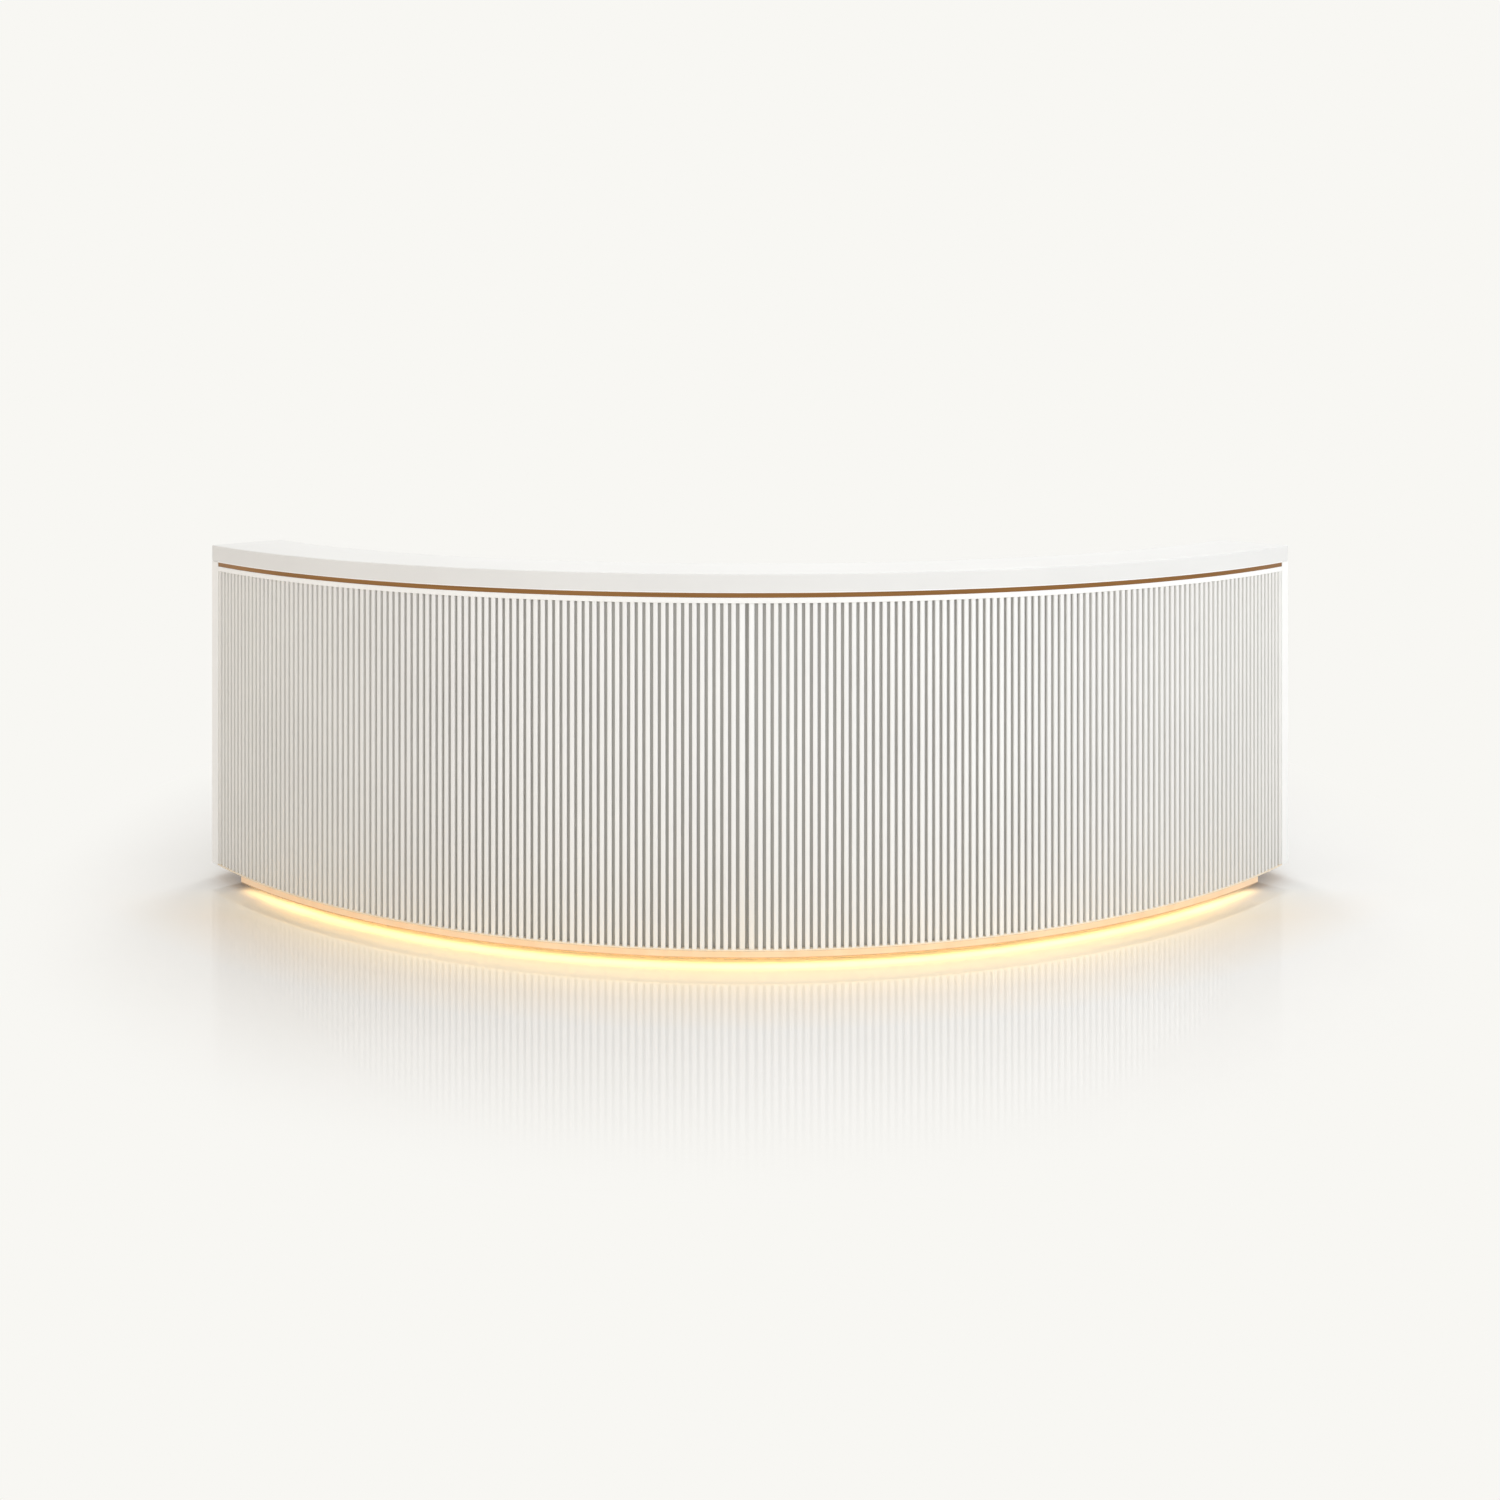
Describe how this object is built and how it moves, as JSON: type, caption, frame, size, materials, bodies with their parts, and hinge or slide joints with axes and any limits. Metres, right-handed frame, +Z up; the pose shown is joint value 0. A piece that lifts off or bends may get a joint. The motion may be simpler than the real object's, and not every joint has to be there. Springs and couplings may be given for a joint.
{
  "type": "curved bar counter",
  "caption": "White quarter-circle bar counter with a fluted curved front, bronze inlay under a raised ledge, glowing recessed plinth, and a staff worktop over drawers, shelves and a cupboard.",
  "frame": {"origin": "centre of the footprint's bounding box, on the floor", "axes": "+X to the right seen from the public side, -Y towards the public, +Z up"},
  "size_m": [3.2526, 1.1332, 1],
  "materials": {
    "white_lacquer": "satin white lacquer on fibreboard",
    "white_laminate": "white melamine-faced board",
    "plywood": "bare birch plywood",
    "bronze": "bronze anodised, brushed",
    "champagne_metal": "champagne anodised, brushed",
    "zinc_steel": "zinc plated",
    "opal_plastic": "opal cover, lit warm white",
    "grey_plastic": "moulded, matt",
    "black_plastic": "moulded nylon",
    "cable_jacket": "matt cable jacket"
  },
  "bodies": {
    "counter": {"bottom_rail": "white_lacquer", "bronze_inlay": "bronze", "cable_grommets": "grey_plastic", "centre_partition_left": "white_laminate", "centre_partition_right": "white_laminate", "cupboard_shelf": "white_laminate", "cupboard_sides": "white_laminate", "deck_left": "white_laminate", "deck_right": "white_laminate", "drawer_bank_sides": "white_laminate", "end_panel_left": "white_lacquer", "end_panel_right": "white_lacquer", "floor_glides": "black_plastic", "fluted_panel_left": "white_lacquer", "fluted_panel_right": "white_lacquer", "inner_skin_left": "white_laminate", "inner_skin_right": "white_laminate", "ledge_left": "white_lacquer", "ledge_right": "white_lacquer", "light_channel": "champagne_metal", "light_diffuser": "opal_plastic", "light_driver": "grey_plastic", "light_lead": "cable_jacket", "mains_gland": "black_plastic", "pivot_hinges": "zinc_steel", "plinth_back_board": "white_laminate", "plinth_front_board": "white_laminate", "plinth_joists": "plywood", "runner_channels": "zinc_steel", "shelf_cleats": "plywood", "shelf_left": "white_laminate", "shelf_right": "white_laminate", "top_rail": "white_lacquer", "wall_formers": "plywood", "wall_studs": "plywood", "worktop_ledgers": "plywood", "worktop_left": "white_laminate", "worktop_right": "white_laminate"},
    "drawer_top": {"drawer_top_front": "white_laminate", "drawer_top_box": "plywood", "drawer_top_rails": "zinc_steel", "drawer_top_handle": "bronze"},
    "drawer_middle": {"drawer_middle_front": "white_laminate", "drawer_middle_box": "plywood", "drawer_middle_rails": "zinc_steel", "drawer_middle_handle": "bronze"},
    "drawer_bottom": {"drawer_bottom_front": "white_laminate", "drawer_bottom_box": "plywood", "drawer_bottom_rails": "zinc_steel", "drawer_bottom_handle": "bronze"},
    "door_left": {"door_left": "white_laminate", "door_left_handle": "bronze"},
    "door_right": {"door_right": "white_laminate", "door_right_handle": "bronze"}
  },
  "joints": [
    {"name": "drawer_top_slide", "type": "slide", "parent": "counter", "child": "drawer_top", "axis": [0.5735, 0.8192, 0], "range_m": [0, 0.32]},
    {"name": "drawer_middle_slide", "type": "slide", "parent": "counter", "child": "drawer_middle", "axis": [0.5735, 0.8192, 0], "range_m": [0, 0.32]},
    {"name": "drawer_bottom_slide", "type": "slide", "parent": "counter", "child": "drawer_bottom", "axis": [0.5735, 0.8192, 0], "range_m": [0, 0.32]},
    {"name": "door_left_hinge", "type": "hinge", "parent": "counter", "child": "door_left", "pos_m": [0.78342, 0.20541, 0.398], "axis": [0, 0, 1], "range_deg": [0, 90]},
    {"name": "door_right_hinge", "type": "hinge", "parent": "counter", "child": "door_right", "pos_m": [1.16762, 0.47438, 0.398], "axis": [0, 0, -1], "range_deg": [0, 90]}
  ]
}
